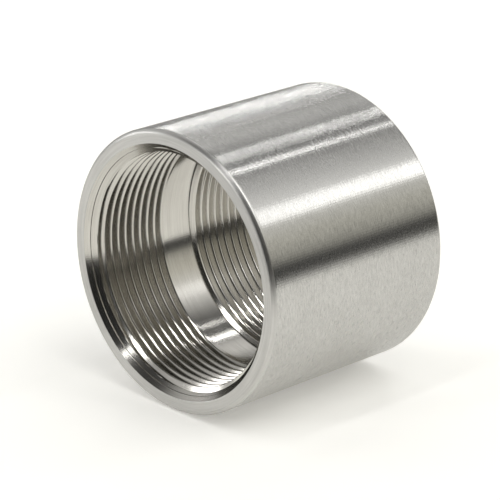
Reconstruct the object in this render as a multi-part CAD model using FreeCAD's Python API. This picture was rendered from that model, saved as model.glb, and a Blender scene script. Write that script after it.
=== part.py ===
import FreeCAD, Part
import math
import os

os.makedirs("parts", exist_ok=True)

# A pipe coupling: one short length of stainless steel, turned and bored, with a
# right-hand parallel pipe thread cut into it from each mouth. It is one piece of
# metal with no moving parts.
#
# Frame: millimetres, origin at the centre of the coupling, axis along Y.
# The front mouth faces -Y and the back mouth faces +Y.
# Angles about the axis run from +X towards +Z.

# Envelope
OUTER_D = 69.0
LENGTH = 56.0
RIM_BREAK_RADIAL = 0.9  # the outer corner of each end is taken off
RIM_BREAK_AXIAL = 0.8

# Pipe thread G 2: 11 threads per inch, 55 degree Whitworth flanks, narrow flats
# at crest and root
THREAD_MAJOR_D = 59.614
THREAD_PITCH = 25.4 / 11
THREAD_DEPTH = 1.479
HALF_THREAD_ANGLE = math.radians(27.5)

# Each mouth: a 45 degree bevel, a narrow plain land that just clears the thread, then
# a 45 degree lead-in cone that the thread starts in
MOUTH_BEVEL = 1.1
LAND_D = 59.9
LAND_LENGTH = 0.25

# Between the threads the bore is plain and a little wider than the crests
RECESS_D = 58.6
RECESS_WIDTH = 10.3
RECESS_CENTRE_Y = 0.3
RECESS_WALL_LENGTH = 0.55  # the steep wall at each end of the recess

# Each groove comes to its full depth over the first part of a turn, beginning
# this far from the middle of the coupling
GROOVE_START = 5.5
RUN_OUT_TURNS = 1 / 3
FRONT_START_ANGLE = 47.0
BACK_START_ANGLE = 63.0

ORIGIN = FreeCAD.Vector(0, 0, 0)
AXIS_X = FreeCAD.Vector(1, 0, 0)
AXIS_Y = FreeCAD.Vector(0, 1, 0)
AXIS_Z = FreeCAD.Vector(0, 0, 1)

outer_r = OUTER_D / 2
major_r = THREAD_MAJOR_D / 2
minor_r = major_r - THREAD_DEPTH
half_length = LENGTH / 2
land_r = LAND_D / 2
land_end = half_length - MOUTH_BEVEL - LAND_LENGTH


def mouth_outline():
    """(radius, distance from the middle) from the full crests round to the rim."""
    return [
        (minor_r, land_end - (land_r - minor_r)),
        (land_r, land_end),
        (land_r, half_length - MOUTH_BEVEL),
        (land_r + MOUTH_BEVEL, half_length),
        (outer_r - RIM_BREAK_RADIAL, half_length),
        (outer_r, half_length - RIM_BREAK_AXIAL),
    ]


def blank():
    """The coupling before threading: its section turned about the axis."""
    recess_r = RECESS_D / 2
    low = RECESS_CENTRE_Y - RECESS_WIDTH / 2
    high = RECESS_CENTRE_Y + RECESS_WIDTH / 2
    recess = [
        (minor_r, low),
        (recess_r, low + RECESS_WALL_LENGTH),
        (recess_r, high - RECESS_WALL_LENGTH),
        (minor_r, high),
    ]
    front = [(r, -y) for r, y in reversed(mouth_outline())]
    outline = [FreeCAD.Vector(r, y, 0) for r, y in front + recess + mouth_outline()]
    section = Part.Face(Part.makePolygon(outline + outline[:1]))
    return section.revolve(ORIGIN, AXIS_Y, 360)


def path_point(turns):
    """A point on the path of a groove's root, this many turns on from its start."""
    shallow = max(0.0, 1 - turns / RUN_OUT_TURNS)
    r = major_r - 1.05 * THREAD_DEPTH * shallow**2
    angle = 2 * math.pi * turns
    return FreeCAD.Vector(r * math.cos(angle), r * math.sin(angle), THREAD_PITCH * turns)


def groove_path(turns):
    """The path of a groove's root, as one curve split into an edge for each turn."""
    steps = round(36 * turns)
    stations = [turns * i / steps for i in range(steps + 1)]
    curve = Part.BSplineCurve()
    curve.interpolate(Points=[path_point(t) for t in stations], Parameters=stations)
    stops = [0.0, RUN_OUT_TURNS]
    while stops[-1] < turns - 1e-9:
        stops.append(stops[-1] + 1)
    return Part.Wire([curve.toShape(a, b) for a, b in zip(stops, stops[1:])])


def thread_groove():
    """A right-hand groove about Z that starts at z = 0 and ends clear of the cone."""
    path = groove_path(RUN_OUT_TURNS + math.ceil((land_end - GROOVE_START) / THREAD_PITCH))

    overlap = 0.2  # how far the groove's section reaches inside the crests
    half_root = THREAD_PITCH / 4 - THREAD_DEPTH / 2 * math.tan(HALF_THREAD_ANGLE)
    depth = THREAD_DEPTH + overlap
    half_mouth = half_root + depth * math.tan(HALF_THREAD_ANGLE)
    root_r = path_point(0).x
    corners = [
        (root_r - depth, -half_mouth),
        (root_r, -half_root),
        (root_r, half_root),
        (root_r - depth, half_mouth),
    ]
    section = Part.makePolygon(
        [FreeCAD.Vector(r, 0, z) for r, z in corners + corners[:1]]
    )
    sweep = Part.BRepOffsetAPI.MakePipeShell(path)
    sweep.setBiNormalMode(AXIS_Z)
    sweep.add(section, False, False)
    sweep.build()
    sweep.makeSolid()
    return sweep.shape()


# The groove is turned to lie along +Y for the back thread. Half a turn about Z
# then faces a copy of it to the front, which leaves it right-handed.
back_groove = thread_groove()
back_groove.translate(FreeCAD.Vector(0, 0, GROOVE_START))
back_groove.rotate(ORIGIN, AXIS_X, -90)
front_groove = back_groove.copy()
front_groove.rotate(ORIGIN, AXIS_Z, 180)
back_groove.rotate(ORIGIN, AXIS_Y, -BACK_START_ANGLE)
front_groove.rotate(ORIGIN, AXIS_Y, 180 - FRONT_START_ANGLE)

coupling_body = blank().cut(back_groove).cut(front_groove)
coupling_body.exportStep("parts/coupling_body.step")
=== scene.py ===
import math

import bpy
from mathutils import Matrix, Vector


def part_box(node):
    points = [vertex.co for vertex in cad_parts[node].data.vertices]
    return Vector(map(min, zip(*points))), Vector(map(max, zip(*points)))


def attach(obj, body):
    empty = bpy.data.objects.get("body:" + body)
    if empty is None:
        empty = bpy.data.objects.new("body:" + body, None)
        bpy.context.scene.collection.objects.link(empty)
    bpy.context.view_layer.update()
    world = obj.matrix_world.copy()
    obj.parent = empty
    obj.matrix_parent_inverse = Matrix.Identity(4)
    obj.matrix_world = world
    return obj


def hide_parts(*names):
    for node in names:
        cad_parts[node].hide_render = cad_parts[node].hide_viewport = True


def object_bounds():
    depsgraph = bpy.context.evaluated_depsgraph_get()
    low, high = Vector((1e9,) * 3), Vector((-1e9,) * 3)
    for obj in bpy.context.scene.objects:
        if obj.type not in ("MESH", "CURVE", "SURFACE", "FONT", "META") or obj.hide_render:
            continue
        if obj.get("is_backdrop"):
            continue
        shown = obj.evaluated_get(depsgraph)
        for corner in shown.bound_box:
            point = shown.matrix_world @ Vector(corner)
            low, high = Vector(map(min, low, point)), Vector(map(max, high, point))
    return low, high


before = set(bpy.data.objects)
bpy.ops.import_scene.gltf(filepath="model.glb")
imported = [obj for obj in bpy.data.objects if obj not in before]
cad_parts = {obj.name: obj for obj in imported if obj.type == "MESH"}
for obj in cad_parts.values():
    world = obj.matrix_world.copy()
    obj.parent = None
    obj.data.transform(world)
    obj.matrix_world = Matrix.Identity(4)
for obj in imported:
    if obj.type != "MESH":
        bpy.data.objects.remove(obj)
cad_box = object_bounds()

bl_info = {
    "name": "Threaded pipe coupling",
    "version": (1, 0, 0),
    "blender": (4, 5, 0),
    "location": "3D View > Sidebar > Coupling",
    "description": "Makes a stainless steel pipe coupling, threaded from each mouth, and its studio",
    "category": "Add Mesh",
}

# The coupling lies along Y with its middle at the origin. Its front mouth faces -Y.
# Angles about its axis run from +X towards +Z.

MM = 0.001
CAD_NODE = "coupling_body"
LOW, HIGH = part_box(CAD_NODE)


def linear(colour):
    """An sRGB hex colour as linear RGBA."""
    values = [int(colour[i : i + 2], 16) / 255 for i in (1, 3, 5)]
    return [v / 12.92 if v <= 0.04045 else ((v + 0.055) / 1.055) ** 2.4 for v in values] + [1.0]


def length_property(name, description, default):
    """A length in metres."""
    return bpy.props.FloatProperty(
        name=name, description=description, default=default, unit="LENGTH", subtype="DISTANCE", precision=5
    )


class CouplingSizes(bpy.types.PropertyGroup):
    """The turned blank."""

    outer_radius: length_property("Outer radius", "Radius of the ground outside", HIGH.x)
    half_length: length_property("Half length", "From the middle to an end face", HIGH.y)
    rim_radial: length_property("Rim break, radial", "How much of the end face it takes", 0.9 * MM)
    rim_axial: length_property("Rim break, axial", "How much of the length it takes", 0.8 * MM)
    mouth_bevel: length_property("Mouth bevel", "Width of the 45 degree bevel in each mouth", 1.1 * MM)
    land_radius: length_property("Land radius", "Narrow plain land that clears the thread", 29.95 * MM)
    land_length: length_property("Land length", "Between the mouth bevel and the lead-in cone", 0.25 * MM)
    recess_radius: length_property("Recess radius", "Plain bore between the two threads", 29.3 * MM)
    recess_low: length_property("Recess start", "Where the recess starts along the axis", -4.85 * MM)
    recess_high: length_property("Recess end", "Where the recess ends along the axis", 5.45 * MM)
    recess_wall: length_property("Recess wall", "Length of each steep wall of the recess", 0.55 * MM)
    edge_radius: length_property("Edge radius", "How far turned corners are rounded", 0.12 * MM)
    rim_radius: length_property("Rim radius", "How far the broken rim's edges are rounded", 1.0 * MM)
    segments: bpy.props.IntProperty(
        name="Segments", description="Steps round the axis", default=360, min=24
    )


class ThreadSizes(bpy.types.PropertyGroup):
    """The parallel pipe thread, cut from each mouth."""

    major_radius: length_property("Major radius", "Radius at the thread's root", 29.807 * MM)
    pitch: length_property("Pitch", "11 threads to the inch", 25.4 / 11 * MM)
    depth: length_property("Depth", "From root to crest", 1.479 * MM)
    flank: bpy.props.FloatProperty(
        name="Flank angle",
        description="Half the angle of the groove",
        default=math.radians(27.5),
        subtype="ANGLE",
    )
    start: length_property("Start", "From the middle to the start of each groove", 5.5 * MM)
    run_out: bpy.props.FloatProperty(
        name="Run-out", description="Part of a turn over which a groove deepens", default=1 / 3
    )
    front_angle: bpy.props.FloatProperty(
        name="Front start",
        description="Where the front groove starts",
        default=math.radians(47),
        subtype="ANGLE",
    )
    back_angle: bpy.props.FloatProperty(
        name="Back start",
        description="Where the back groove starts",
        default=math.radians(63),
        subtype="ANGLE",
    )


def colour_property(name, description, default):
    """An sRGB hex colour."""
    return bpy.props.StringProperty(name=name, description=description, default=default)


class FinishColours(bpy.types.PropertyGroup):
    """Colours of the steel's machined finishes."""

    ground_light: colour_property("Ground steel", "Outside, brighter grit lines", "#c9c8c5")
    ground_dark: colour_property("Ground steel, dark lines", "Outside, duller grit lines", "#b6b5b2")
    turned_light: colour_property("Turned steel", "End faces and broken rims", "#c6c5c2")
    turned_dark: colour_property("Turned steel, dark rings", "Tool rings on the end faces", "#b9b8b5")
    cut_light: colour_property("Cut steel", "Threads and bore", "#cac8c2")
    cut_dark: colour_property("Cut steel, dark lines", "Tool lines in the threads and bore", "#bbb8b2")


class StudioSettings(bpy.types.PropertyGroup):
    """The studio's floor."""

    floor_colour: colour_property("Floor", "Plain pale floor", "#f6f5f1")
    floor_size: length_property("Floor size", "Side of the square floor", 0.70)
    floor_front: length_property("Floor front", "From the middle to the floor's front edge", 0.175)


def add(tree, kind, inputs=None, **settings):
    """Adds a node, applies its settings, and fills its inputs with values or links."""
    node = tree.nodes.new(kind)
    node.location = (200 * (len(tree.nodes) % 12), -260 * (len(tree.nodes) // 12))
    for name, value in settings.items():
        setattr(node, name, value)
    for socket, value in (inputs or {}).items():
        if isinstance(value, bpy.types.Node):
            value = value.outputs[0]
        if isinstance(value, bpy.types.NodeSocket):
            tree.links.new(value, node.inputs[socket])
        else:
            node.inputs[socket].default_value = value
    return node


# Section of the coupling, and how many steps each part of it has

ROUND_STEPS = 3  # each rounded corner
CONE_STEPS = 14  # each lead-in cone, which the grooves cut into
WALL_STEPS = 5  # each steep wall of the recess
OUTSIDE_STEPS = 12  # the outside, from rim to rim

# Where the rows of one thread turn lie, in pitches from the middle of the groove. The
# pairs stand a little either side of each corner, which leaves it slightly broken, as
# a tap does.
THREAD_ROWS = (-0.45, -0.385, -0.11, -0.06, 0.06, 0.11, 0.385, 0.45)


def between(first, last, steps):
    """Points from first up to, but not including, last."""
    return [first.lerp(last, i / steps) for i in range(steps)]


def rounded(points, radii):
    """The outline with each of its inner corners eased over by a curve, to about its own radius."""
    result = [points[0]]
    for before, corner, after, radius in zip(points, points[1:], points[2:], radii):
        back = (before - corner).normalized()
        on = (after - corner).normalized()
        turn = math.pi - back.angle(on)
        trim = radius * math.tan(turn / 2)
        start, end = corner + back * trim, corner + on * trim
        for i in range(ROUND_STEPS + 1):
            t = i / ROUND_STEPS
            result.append(start.lerp(corner, t).lerp(corner.lerp(end, t), t))
    return result + [points[-1]]


def mouth_rows(sizes, thread):
    """Plain rows as (radius, distance from the middle), from the full crests round the rim."""
    minor = thread.major_radius - thread.depth
    land_end = sizes.half_length - sizes.mouth_bevel - sizes.land_length
    outline = [
        Vector((sizes.land_radius, land_end)),
        Vector((sizes.land_radius, sizes.half_length - sizes.mouth_bevel)),
        Vector((sizes.land_radius + sizes.mouth_bevel, sizes.half_length)),
        Vector((sizes.outer_radius - sizes.rim_radial, sizes.half_length)),
        Vector((sizes.outer_radius, sizes.half_length - sizes.rim_axial)),
        Vector((sizes.outer_radius, 0.0)),
    ]
    crest_end = Vector((minor, land_end - (sizes.land_radius - minor)))
    cone = between(crest_end, outline[0], CONE_STEPS)
    radii = [sizes.edge_radius] * 2 + [sizes.rim_radius] * 2
    return cone + rounded(outline, radii)[:-1]


def thread_rows(thread, near, far, side):
    """Rows that follow one thread, as (radius, nearest y, turn), outwards from the recess."""
    minor = thread.major_radius - thread.depth
    turns = math.ceil((far - thread.start) / thread.pitch)
    places = [k + place for k in range(turns + 1) for place in THREAD_ROWS]
    last = (far - thread.start) / thread.pitch
    return [(minor, side * near, place) for place in places if place < last]


def section_rows(sizes, thread):
    """The whole closed section as (radius, y, turn), with no turn for a plain row."""
    minor = thread.major_radius - thread.depth
    mouth = [tuple(point) for point in mouth_rows(sizes, thread)]
    thread_end = mouth[0][1]
    walls = []
    for edge, inwards in ((sizes.recess_low, 1), (sizes.recess_high, -1)):
        foot = Vector((sizes.recess_radius, edge + inwards * sizes.recess_wall))
        walls.append(between(Vector((minor, edge)), foot, WALL_STEPS) + [foot])
    rows = [(r, -y, None) for r, y in reversed(mouth)]
    rows += reversed(thread_rows(thread, -sizes.recess_low, thread_end, -1))
    rows += [(*point, None) for point in walls[0] + walls[1][::-1]]
    rows += thread_rows(thread, sizes.recess_high, thread_end, 1)
    rows += [(r, y, None) for r, y in mouth]
    side = mouth[-1][1]
    rows += [
        (sizes.outer_radius, side * (1 - 2 * i / OUTSIDE_STEPS), None) for i in range(1, OUTSIDE_STEPS + 1)
    ]
    return rows


def section_mesh(rows):
    """The section as a line of vertices, each with the turn of thread that it follows."""
    mesh = bpy.data.meshes.new("coupling section")
    mesh.from_pydata([(r, y, 0) for r, y, _ in rows], [(i, i + 1) for i in range(len(rows) - 1)], [])
    turn = mesh.attributes.new("turn", "FLOAT", "POINT")
    turn.data.foreach_set("value", [t or 0.0 for _, _, t in rows])
    follows = mesh.attributes.new("follows thread", "FLOAT", "POINT")
    follows.data.foreach_set("value", [float(t is not None) for _, _, t in rows])
    return mesh


# Geometry of the coupling

RUN_OUT_DEPTHS = 1.05  # a groove starts this many depths inside its full root, just clear of the metal
FACE_MAP_SCALE = 0.3  # how fast the map of tool lines grows outwards, against 1 along the axis
SHARP_ANGLE = math.radians(32)  # an edge that bends more than this is left sharp
MERGE_DISTANCE = 0.01 * MM  # closes the seam, and joins thread rows where they run together


def coupling_tree(materials):
    """Turns the section about Y and cuts both threads by their rule."""
    tree = bpy.data.node_groups.new("Threaded coupling", "GeometryNodeTree")
    tree.interface.new_socket("Coupling", in_out="OUTPUT", socket_type="NodeSocketGeometry")
    tree.interface.new_socket("Section", in_out="INPUT", socket_type="NodeSocketGeometry")
    tree.interface.new_socket("Segments", in_out="INPUT", socket_type="NodeSocketInt")
    for name in (
        "Major radius",
        "Pitch",
        "Depth",
        "Flank angle",
        "Start",
        "Run-out",
        "Front start",
        "Back start",
        "Thread end",
        "Bore limit",
        "Face limit",
        "Rim limit",
        "Sharp angle",
        "Merge distance",
    ):
        tree.interface.new_socket(name, in_out="INPUT", socket_type="NodeSocketFloat")
    size = add(tree, "NodeGroupInput").outputs
    maths = "ShaderNodeMath"

    # A sheet with a row for each point of the section and a column for each step round
    count = add(tree, "GeometryNodeAttributeDomainSize", {0: size["Section"]}, component="MESH")
    columns = add(tree, maths, {0: size["Segments"], 1: 1.0}, operation="ADD")
    sheet = add(tree, "GeometryNodeMeshGrid", {"Vertices X": count, "Vertices Y": columns})
    index = add(tree, "GeometryNodeInputIndex")
    row = add(tree, maths, {0: index, 1: columns}, operation="DIVIDE")
    row = add(tree, maths, {0: row}, operation="FLOOR")
    first = add(tree, maths, {0: row, 1: columns}, operation="MULTIPLY")
    column = add(tree, maths, {0: index, 1: first}, operation="SUBTRACT")
    turned = add(tree, maths, {0: column, 1: size["Segments"]}, operation="DIVIDE")
    angle = add(tree, maths, {0: turned, 1: 2 * math.pi}, operation="MULTIPLY")

    # What the section says of this row
    point = add(
        tree,
        "GeometryNodeSampleIndex",
        {0: size["Section"], 1: add(tree, "GeometryNodeInputPosition"), 2: row},
        data_type="FLOAT_VECTOR",
    )
    point = add(tree, "ShaderNodeSeparateXYZ", {0: point}).outputs
    named = {}
    for name in ("turn", "follows thread"):
        field = add(tree, "GeometryNodeInputNamedAttribute", {0: name}, data_type="FLOAT")
        inputs = {0: size["Section"], 1: field, 2: row}
        named[name] = add(tree, "GeometryNodeSampleIndex", inputs, data_type="FLOAT")

    # How far round its turn the groove is here
    side = add(tree, maths, {0: point["Y"]}, operation="SIGN")
    front = add(tree, maths, {0: size["Front start"], 1: -1.0}, operation="MULTIPLY")
    start = add(tree, "ShaderNodeMapRange", {0: side, 1: -1.0, 2: 1.0, 3: front, 4: size["Back start"]})
    signed = add(tree, maths, {0: side, 1: angle}, operation="MULTIPLY")
    part = add(tree, maths, {0: start, 1: signed}, operation="SUBTRACT")
    part = add(tree, maths, {0: part, 1: 2 * math.pi}, operation="DIVIDE")
    part = add(tree, maths, {0: part}, operation="FRACT")

    # Distance from the middle: a plain row keeps its own, and a thread row follows the helix
    own = add(tree, maths, {0: point["Y"]}, operation="ABSOLUTE")
    along = add(tree, maths, {0: part, 1: named["turn"]}, operation="ADD")
    along = add(tree, maths, {0: along, 1: size["Pitch"], 2: size["Start"]}, operation="MULTIPLY_ADD")
    along = add(tree, "ShaderNodeClamp", {0: along, 1: own, 2: size["Thread end"]})
    distance = add(tree, "ShaderNodeMix", {0: named["follows thread"], 2: own, 3: along}, data_type="FLOAT")

    # Radius of the nearest turn of the groove
    here = add(tree, maths, {0: distance, 1: size["Start"]}, operation="SUBTRACT")
    here = add(tree, maths, {0: here, 1: size["Pitch"]}, operation="DIVIDE")
    here = add(tree, maths, {0: here, 1: part}, operation="SUBTRACT")
    nearest = add(tree, maths, {0: here}, operation="ROUND")
    nearest = add(tree, maths, {0: nearest, 1: 0.0}, operation="MAXIMUM")
    off = add(tree, maths, {0: here, 1: nearest}, operation="SUBTRACT")
    off = add(tree, maths, {0: off}, operation="ABSOLUTE")
    off = add(tree, maths, {0: off, 1: size["Pitch"]}, operation="MULTIPLY")
    slope = add(tree, maths, {0: size["Flank angle"]}, operation="TANGENT")
    half_depth = add(tree, maths, {0: size["Depth"], 1: 0.5}, operation="MULTIPLY")
    # Half way down its flanks a groove is half a pitch wide, so its half width there is a quarter
    mean_half = add(tree, maths, {0: size["Pitch"], 1: 0.25}, operation="MULTIPLY")
    taper = add(tree, maths, {0: half_depth, 1: slope}, operation="MULTIPLY")
    half_root = add(tree, maths, {0: mean_half, 1: taper}, operation="SUBTRACT")
    off = add(tree, maths, {0: off, 1: half_root}, operation="SUBTRACT")
    off = add(tree, maths, {0: off, 1: 0.0}, operation="MAXIMUM")
    rise = add(tree, maths, {0: off, 1: slope}, operation="DIVIDE")

    # The groove deepens over the run-out, by the turns gone since its start
    gone = add(tree, maths, {0: nearest, 1: part}, operation="ADD")
    fade = add(tree, "ShaderNodeMapRange", {0: gone, 1: 0.0, 2: size["Run-out"], 3: 1.0, 4: 0.0})
    fade = add(tree, maths, {0: fade, 1: 2.0}, operation="POWER")
    fade = add(tree, maths, {0: fade, 1: size["Depth"]}, operation="MULTIPLY")
    fade = add(tree, maths, {0: fade, 1: RUN_OUT_DEPTHS}, operation="MULTIPLY")
    root = add(tree, maths, {0: size["Major radius"], 1: fade}, operation="SUBTRACT")
    groove = add(tree, maths, {0: root, 1: rise}, operation="SUBTRACT")
    radius = add(tree, maths, {0: groove, 1: point["X"]}, operation="MAXIMUM")

    # Place in space
    x = add(tree, maths, {0: angle}, operation="COSINE")
    x = add(tree, maths, {0: x, 1: radius}, operation="MULTIPLY")
    z = add(tree, maths, {0: angle}, operation="SINE")
    z = add(tree, maths, {0: z, 1: radius}, operation="MULTIPLY")
    y = add(tree, maths, {0: distance, 1: side}, operation="MULTIPLY")
    place = add(tree, "ShaderNodeCombineXYZ", {0: x, 1: y, 2: z})
    body = add(tree, "GeometryNodeSetPosition", {"Geometry": sheet, "Position": place})
    body = add(tree, "GeometryNodeFlipFaces", {0: body})

    # A map whose U runs across the tool lines, both along the axis and out along a flat face
    spot = add(tree, "ShaderNodeSeparateXYZ", {0: add(tree, "GeometryNodeInputPosition")}).outputs
    flat = add(tree, "ShaderNodeCombineXYZ", {0: spot["X"], 2: spot["Z"]})
    out = add(tree, "ShaderNodeVectorMath", {0: flat}, operation="LENGTH").outputs["Value"]
    across = add(tree, maths, {0: out, 1: FACE_MAP_SCALE, 2: spot["Y"]}, operation="MULTIPLY_ADD")
    sheet_map = add(tree, "ShaderNodeSeparateXYZ", {0: sheet.outputs["UV Map"]}).outputs
    lines = add(tree, "ShaderNodeCombineXYZ", {0: across, 1: sheet_map["Y"]})
    body = add(
        tree,
        "GeometryNodeStoreNamedAttribute",
        {"Geometry": body, "Name": "tool lines", "Value": lines},
        data_type="FLOAT2",
        domain="CORNER",
    )

    # Close the sheet, and keep the tool's corners crisp
    body = add(tree, "GeometryNodeMergeByDistance", {"Geometry": body, "Distance": size["Merge distance"]})
    bend = add(tree, "GeometryNodeInputMeshEdgeAngle")
    soft = add(tree, "FunctionNodeCompare", {0: bend, 1: size["Sharp angle"]}, operation="LESS_THAN")
    body = add(tree, "GeometryNodeSetShadeSmooth", {0: body, 2: soft}, domain="EDGE")
    body = add(tree, "GeometryNodeRealizeInstances", {0: body})

    # Ground outside, turned end faces, broken outer corners, and cut bore
    level = add(tree, maths, {0: spot["Y"]}, operation="ABSOLUTE")
    on_face = add(tree, "FunctionNodeCompare", {0: level, 1: size["Face limit"]}, operation="GREATER_THAN")
    in_bore = add(tree, "FunctionNodeCompare", {0: out, 1: size["Bore limit"]}, operation="LESS_THAN")
    far_out = add(tree, "FunctionNodeCompare", {0: out, 1: size["Rim limit"]}, operation="GREATER_THAN")
    on_rim = add(tree, "FunctionNodeBooleanMath", {0: on_face, 1: far_out}, operation="AND")
    for material, where in zip(materials, (None, on_face, on_rim, in_bore)):
        inputs = {"Geometry": body, "Material": material}
        if where:
            inputs["Selection"] = where
        body = add(tree, "GeometryNodeSetMaterial", inputs)
    add(tree, "NodeGroupOutput", {0: body})
    return tree


def made_by_nodes(name, mesh, tree, values):
    """A plain mesh object made by running the tree on the mesh with these named inputs."""
    piece = bpy.data.objects.new(name, mesh)
    bpy.context.scene.collection.objects.link(piece)
    modifier = piece.modifiers.new(tree.name, "NODES")
    modifier.node_group = tree
    for item in tree.interface.items_tree:
        if item.in_out == "INPUT" and item.name in values:
            modifier[item.identifier] = values[item.name]
    view = bpy.context.evaluated_depsgraph_get()
    result = bpy.data.meshes.new_from_object(
        piece.evaluated_get(view), preserve_all_data_layers=True, depsgraph=view
    )
    piece.modifiers.remove(modifier)
    # The plain section wears no material, which leaves an empty slot before the real ones
    while result.materials and result.materials[0] is None:
        result.materials.pop(index=0)
    piece.data = result
    result.name = name
    return piece


# Finishes

GRIT_WIDTH = 0.2 * MM  # a real grit line is under 0.05 mm, too fine to show, so it is drawn this wide
GRIT_LENGTH = 1.3 * MM  # how far one grain's line runs before another takes over
RING_WIDTH = 0.35 * MM  # tool feed is about 0.1 mm a turn, drawn coarser for the same reason
PATCH_SIZE = 12 * MM  # uneven patches left by polishing and handling, with specks under a millimetre
PATCH_SHARE = 0.9  # how much the patches change the finish, against 1 for the lines
LINE_RANGE = (0.3, 0.7)  # the part of the lines' noise that runs from dark to light


def steel(name, light, dark, width, reach, radial, roughness, spread, anisotropy, relief):
    """Machined stainless steel whose tool lines run round the axis.

    Its lines are width across and reach long, and radial sets them out as rings on a flat
    face. Roughness varies by spread either way, and relief is the height of the ridges.
    """
    material = bpy.data.materials.new(name)
    material.use_nodes = True
    tree = material.node_tree
    tree.nodes.clear()
    maths = "ShaderNodeMath"
    place = add(tree, "ShaderNodeTexCoord").outputs["Object"]
    spot = add(tree, "ShaderNodeSeparateXYZ", {0: place}).outputs
    flat = add(tree, "ShaderNodeCombineXYZ", {0: spot["X"], 2: spot["Z"]})
    if radial:
        across = add(tree, "ShaderNodeVectorMath", {0: flat}, operation="LENGTH").outputs["Value"]
    else:
        across = spot["Y"]
    fine = add(tree, maths, {0: across, 1: 1 / width}, operation="MULTIPLY")
    x = add(tree, maths, {0: spot["X"], 1: 1 / reach}, operation="MULTIPLY")
    z = add(tree, maths, {0: spot["Z"], 1: 1 / reach}, operation="MULTIPLY")
    line_place = add(tree, "ShaderNodeCombineXYZ", {0: x, 1: fine, 2: z})
    lines = add(
        tree, "ShaderNodeTexNoise", {"Vector": line_place, "Scale": 1.0, "Detail": 2.0, "Roughness": 0.6}
    )
    patches = add(
        tree,
        "ShaderNodeTexNoise",
        {"Vector": place, "Scale": 1 / PATCH_SIZE, "Detail": 6.0, "Roughness": 0.8},
    )
    line_mix = add(tree, "ShaderNodeMapRange", {0: lines, 1: LINE_RANGE[0], 2: LINE_RANGE[1]})
    mixed = add(tree, maths, {0: patches, 1: PATCH_SHARE, 2: -PATCH_SHARE / 2}, operation="MULTIPLY_ADD")
    mixed = add(tree, maths, {0: line_mix, 1: mixed}, operation="ADD")
    colour = add(tree, "ShaderNodeMix", {0: mixed, 6: linear(dark), 7: linear(light)}, data_type="RGBA")
    rough = add(
        tree,
        "ShaderNodeMapRange",
        {0: mixed, 1: 0.0, 2: 1.0, 3: roughness + spread, 4: roughness - spread},
    )
    # The cut itself only rises and falls across the lines
    ridges = add(tree, "ShaderNodeTexNoise", {"W": fine, "Scale": 1.0, "Detail": 1.0}, noise_dimensions="1D")
    bump = add(tree, "ShaderNodeBump", {"Strength": 1.0, "Distance": relief, "Height": ridges})
    tangent = add(tree, "ShaderNodeTangent", direction_type="UV_MAP", uv_map="tool lines")
    shader = add(
        tree,
        "ShaderNodeBsdfPrincipled",
        {
            "Base Color": colour.outputs[2],
            "Metallic": 1.0,
            "Roughness": rough,
            "Anisotropic": anisotropy,
            "Normal": bump,
            "Tangent": tangent,
        },
    )
    add(tree, "ShaderNodeOutputMaterial", {"Surface": shader})
    return material


class COUPLING_OT_body(bpy.types.Operator):
    """Make the stainless steel coupling with a thread in each mouth"""

    bl_idname = "coupling.body"
    bl_label = "Coupling"

    def execute(self, context):
        sizes, thread = context.scene.coupling_sizes, context.scene.coupling_thread
        colours = context.scene.coupling_colours
        # Stainless steel ground round its axis on a fine belt: grit lines round the outside spread
        # each reflection along the coupling and keep it narrow across.
        ground = steel(
            "stainless steel, belt ground",
            colours.ground_light,
            colours.ground_dark,
            width=GRIT_WIDTH,
            reach=GRIT_LENGTH,
            radial=False,
            roughness=0.25,
            spread=0.045,
            anisotropy=1.0,
            relief=0.001 * MM,
        )
        # Stainless steel faced on a lathe: fine rings that make the end look even and almost matte.
        turned = steel(
            "stainless steel, faced on a lathe",
            colours.turned_light,
            colours.turned_dark,
            width=RING_WIDTH,
            reach=PATCH_SIZE,
            radial=True,
            roughness=0.42,
            spread=0.05,
            anisotropy=0.6,
            relief=0.001 * MM,
        )
        # Stainless steel with its corner taken off by a sharp tool: a narrow band round each rim,
        # a little glossier than the face.
        broken = steel(
            "stainless steel, corner broken on a lathe",
            colours.turned_light,
            colours.turned_dark,
            width=RING_WIDTH,
            reach=PATCH_SIZE,
            radial=False,
            roughness=0.33,
            spread=0.02,
            anisotropy=0.5,
            relief=0.0004 * MM,
        )
        # Stainless steel cut by a threading tool: bright flanks with faint lines along the cut.
        cut = steel(
            "stainless steel, thread cut",
            colours.cut_light,
            colours.cut_dark,
            width=GRIT_WIDTH,
            reach=PATCH_SIZE,
            radial=False,
            roughness=0.17,
            spread=0.02,
            anisotropy=0.5,
            relief=0.0004 * MM,
        )
        minor = thread.major_radius - thread.depth
        land_end = sizes.half_length - sizes.mouth_bevel - sizes.land_length
        values = {
            "Segments": sizes.segments,
            "Major radius": thread.major_radius,
            "Pitch": thread.pitch,
            "Depth": thread.depth,
            "Flank angle": thread.flank,
            "Start": thread.start,
            "Run-out": thread.run_out,
            "Front start": thread.front_angle,
            "Back start": thread.back_angle,
            "Thread end": land_end - (sizes.land_radius - minor),
            # Where one finish gives way to the next
            "Bore limit": sizes.land_radius + sizes.mouth_bevel - sizes.edge_radius,
            "Face limit": sizes.half_length - sizes.rim_axial - sizes.edge_radius / 2,
            "Rim limit": sizes.outer_radius - sizes.rim_radial,
            "Sharp angle": SHARP_ANGLE,
            "Merge distance": MERGE_DISTANCE,
        }
        mesh = section_mesh(section_rows(sizes, thread))
        tree = coupling_tree((ground, turned, broken, cut))
        piece = made_by_nodes("steel_coupling", mesh, tree, values)
        if len(piece.data.polygons) < sizes.segments:
            raise RuntimeError("the coupling has too few faces")
        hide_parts(CAD_NODE)
        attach(piece, "root")
        return {"FINISHED"}


# Studio


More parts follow.
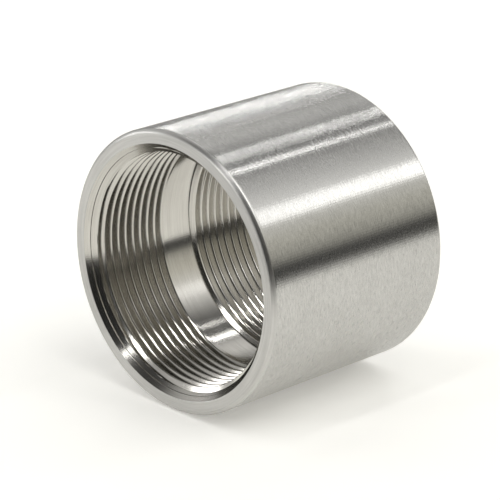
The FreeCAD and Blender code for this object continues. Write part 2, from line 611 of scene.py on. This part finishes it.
def strip_light(name, angle, distance, width, start, end, radiance):
    """A soft light that faces the axis, at this angle about it, from y = start to y = end."""
    data = bpy.data.lights.new(name, "AREA")
    data.shape = "RECTANGLE"
    data.size, data.size_y = width, end - start
    data.energy = radiance * 4 * data.size * data.size_y  # an area light this strong has this radiance
    lamp = bpy.data.objects.new(name, data)
    bpy.context.scene.collection.objects.link(lamp)
    out = Vector((math.cos(math.radians(angle)), 0, math.sin(math.radians(angle))))
    along = Vector((0, 1, 0))
    turn = Matrix((along.cross(out), along, out)).transposed()
    place = out * distance + along * (start + end) / 2
    lamp.matrix_world = Matrix.Translation(place) @ turn.to_4x4()
    lamp.visible_camera = False


# Soft lights as (name, degrees about the axis, distance from it, width, start and end along
# it, radiance), with lengths in metres
STRIPS = (
    ("strip far right", 48, 1.3, 0.30, 1.28, 2.8, 3.1),
    ("strip overhead, front", 87, 1.3, 0.10, -1.4, -0.2, 5.6),
    ("strip overhead, back", 85, 1.3, 0.04, 0.65, 1.0, 12.0),
    ("lamp near left", 124.5, 0.54, 0.18, -1.42, -0.94, 14.0),
    ("lamp low left", 168, 1.0, 0.28, -0.74, -0.30, 3.5),
    ("strip far left", 104, 1.3, 0.04, 0.9, 1.5, 10.0),
    ("strip low left", 157, 1.3, 0.045, 0.7, 1.6, 16.0),
)

# Brightness of the walls and ceiling by angle about the axis, in half turns from the right
# hand horizon over the top to the left hand one, as seen past each end of the coupling and
# straight to its side
FAR_WALL = (
    (0.0, 0.03), (0.03, 0.14), (0.052, 0.58), (0.085, 0.80), (0.14, 0.95), (0.26, 1.25), (0.31, 1.1),
    (0.36, 0.7), (0.41, 0.35), (0.45, 0.15), (0.50, 0.08), (0.56, 0.08), (0.6, 0.4), (0.63, 1.0),
    (0.7, 1.15), (0.76, 0.7), (0.84, 0.3), (0.92, 0.3), (1.0, 0.5),
)
SIDE_WALL = (
    (0.0, 0.03), (0.03, 0.05), (0.06, 0.3), (0.1, 0.6), (0.2, 1.2), (0.27, 3.2), (0.40, 3.9), (0.46, 1.2),
    (0.5, 0.5), (0.57, 0.4), (0.61, 1.2), (0.66, 1.2), (0.8, 0.8), (1.0, 0.5),
)
NEAR_WALL = ((0.0, 0.03), (0.3, 0.03), (0.72, 0.06), (0.84, 0.8), (1.0, 1.0))
WALL_STRENGTH = 0.8  # scales all three walls
WALL_WARMTH = 0.02  # how much less blue than red the walls are
LOW_WARMTH = 0.12  # the low part of the right wall is slightly yellow
LOW_PART = (0.03, 0.25)  # where that low part starts and ends, in half turns

# How far a direction leans along the axis where the side wall starts to fade, and where it is gone
WALL_FADE = (0.15, 0.5)


def studio_world():
    """Soft light all round, dim at the right horizon and in front, with plain white behind."""
    world = bpy.data.worlds.new("soft studio")
    bpy.context.scene.world = world
    world.use_nodes = True
    tree = world.node_tree
    tree.nodes.clear()
    way = add(tree, "ShaderNodeTexCoord").outputs["Generated"]
    way = add(tree, "ShaderNodeSeparateXYZ", {0: way}).outputs
    angle = add(tree, "ShaderNodeMath", {0: way["Z"], 1: way["X"]}, operation="ARCTAN2")
    angle = add(tree, "ShaderNodeMath", {0: angle}, operation="ABSOLUTE")
    angle = add(tree, "ShaderNodeMath", {0: angle, 1: math.pi}, operation="DIVIDE")
    walls = []
    for stops in (NEAR_WALL, SIDE_WALL, FAR_WALL):
        wall = add(tree, "ShaderNodeValToRGB", {0: angle})
        ramp = wall.color_ramp
        for i, (position, value) in enumerate(stops):
            # A new ramp already has two stops, and green falls a sixth as much as blue
            stop = ramp.elements[i] if i < 2 else ramp.elements.new(position)
            stop.position = position
            warmth = LOW_WARMTH if LOW_PART[0] < position < LOW_PART[1] else WALL_WARMTH
            stop.color = (value, value * (1 - warmth / 6), value * (1 - warmth), 1)
        walls.append(wall)
    near = add(tree, "ShaderNodeMapRange", {0: way["Y"], 1: -WALL_FADE[1], 2: -WALL_FADE[0]})
    far = add(tree, "ShaderNodeMapRange", {0: way["Y"], 1: WALL_FADE[0], 2: WALL_FADE[1]})
    level = add(tree, "ShaderNodeMix", {0: near, 6: walls[0], 7: walls[1]}, data_type="RGBA").outputs[2]
    level = add(tree, "ShaderNodeMix", {0: far, 6: level, 7: walls[2]}, data_type="RGBA").outputs[2]
    soft = add(tree, "ShaderNodeBackground", {0: level, 1: WALL_STRENGTH})
    plain = add(tree, "ShaderNodeBackground", {0: linear("#ffffff"), 1: 1.0})
    ray = add(tree, "ShaderNodeLightPath").outputs["Is Camera Ray"]
    both = add(tree, "ShaderNodeMixShader", {0: ray, 1: soft, 2: plain})
    add(tree, "ShaderNodeOutputWorld", {0: both})


FLOOR_GLOW = 0.27  # lifts the floor towards white, so that shadows on it stay faint


def floor_piece(settings):
    """A plain pale floor just under the coupling."""
    half = settings.floor_size / 2
    mesh = bpy.data.meshes.new("floor")
    z = LOW.z
    front = -settings.floor_front
    corners = [(-half, front, z), (half, front, z), (half, half, z), (-half, half, z)]
    mesh.from_pydata(corners, [], [(0, 1, 2, 3)])
    floor = bpy.data.objects.new("floor", mesh)
    bpy.context.scene.collection.objects.link(floor)
    # Matt white laminate: even, with no gloss to speak of
    material = bpy.data.materials.new("white laminate, matt")
    material.use_nodes = True
    tree = material.node_tree
    tree.nodes.clear()
    shader = add(
        tree,
        "ShaderNodeBsdfPrincipled",
        {
            "Base Color": linear(settings.floor_colour),
            "Roughness": 0.9,
            "Emission Color": linear(settings.floor_colour),
            "Emission Strength": FLOOR_GLOW,
        },
    )
    add(tree, "ShaderNodeOutputMaterial", {0: shader})
    mesh.materials.append(material)
    floor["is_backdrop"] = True


CAMERA_AZIMUTH = math.radians(46.10)  # from straight in front of the front mouth, towards +X
CAMERA_ELEVATION = math.radians(19.85)
CAMERA_DISTANCE = 0.649
CAMERA_LEFT, CAMERA_DOWN = 0.00172, 0.00107  # how far left and down it stands, to frame the coupling
CAMERA_LENS, SENSOR_WIDTH = 195.06, 36  # in millimetres, as Blender has them


def camera_piece():
    """The camera, above and to the right of the front mouth."""
    azimuth, elevation = CAMERA_AZIMUTH, CAMERA_ELEVATION
    back = Vector(
        (
            math.sin(azimuth) * math.cos(elevation),
            -math.cos(azimuth) * math.cos(elevation),
            math.sin(elevation),
        )
    )
    right = Vector((math.cos(azimuth), math.sin(azimuth), 0))
    up = back.cross(right)
    data = bpy.data.cameras.new("camera")
    data.sensor_width = SENSOR_WIDTH
    data.lens = CAMERA_LENS
    data.clip_start = 0.01
    camera = bpy.data.objects.new("camera", data)
    bpy.context.scene.collection.objects.link(camera)
    place = back * CAMERA_DISTANCE - right * CAMERA_LEFT - up * CAMERA_DOWN
    turn = Matrix((right, up, back)).transposed()
    camera.matrix_world = Matrix.Translation(place) @ turn.to_4x4()
    bpy.context.scene.camera = camera


class COUPLING_OT_studio(bpy.types.Operator):
    """Make the floor, the soft lights and the camera"""

    bl_idname = "coupling.studio"
    bl_label = "Studio"

    def execute(self, context):
        settings = context.scene.coupling_studio
        floor_piece(settings)
        studio_world()
        for lamp in STRIPS:
            strip_light(*lamp)
        camera_piece()
        context.scene.view_settings.view_transform = "Standard"
        return {"FINISHED"}


class COUPLING_PT_panel(bpy.types.Panel):
    """Sizes, finishes and the making of the coupling."""

    bl_idname = "COUPLING_PT_panel"
    bl_label = "Pipe coupling"
    bl_space_type = "VIEW_3D"
    bl_region_type = "UI"
    bl_category = "Coupling"

    def draw(self, context):
        for operator in (COUPLING_OT_body, COUPLING_OT_studio):
            self.layout.operator(operator.bl_idname)
        for name in GROUPS:
            group = getattr(context.scene, name)
            box = self.layout.box()
            for item in group.bl_rna.properties:
                if item.identifier not in ("rna_type", "name"):
                    box.prop(group, item.identifier)


GROUPS = {
    "coupling_sizes": CouplingSizes,
    "coupling_thread": ThreadSizes,
    "coupling_colours": FinishColours,
    "coupling_studio": StudioSettings,
}
CLASSES = (*GROUPS.values(), COUPLING_OT_body, COUPLING_OT_studio, COUPLING_PT_panel)


def register():
    for item in CLASSES:
        bpy.utils.register_class(item)
    for name, group in GROUPS.items():
        setattr(bpy.types.Scene, name, bpy.props.PointerProperty(type=group))


def unregister():
    for name in GROUPS:
        delattr(bpy.types.Scene, name)
    for item in reversed(CLASSES):
        bpy.utils.unregister_class(item)


def main():
    register()
    bpy.ops.coupling.body()
    bpy.ops.coupling.studio()
    boxes = {"cad": cad_box, "visual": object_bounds()}
    boxes = {name: [[float(v) for v in corner] for corner in box] for name, box in boxes.items()}


if __name__ == "__main__":
    main()
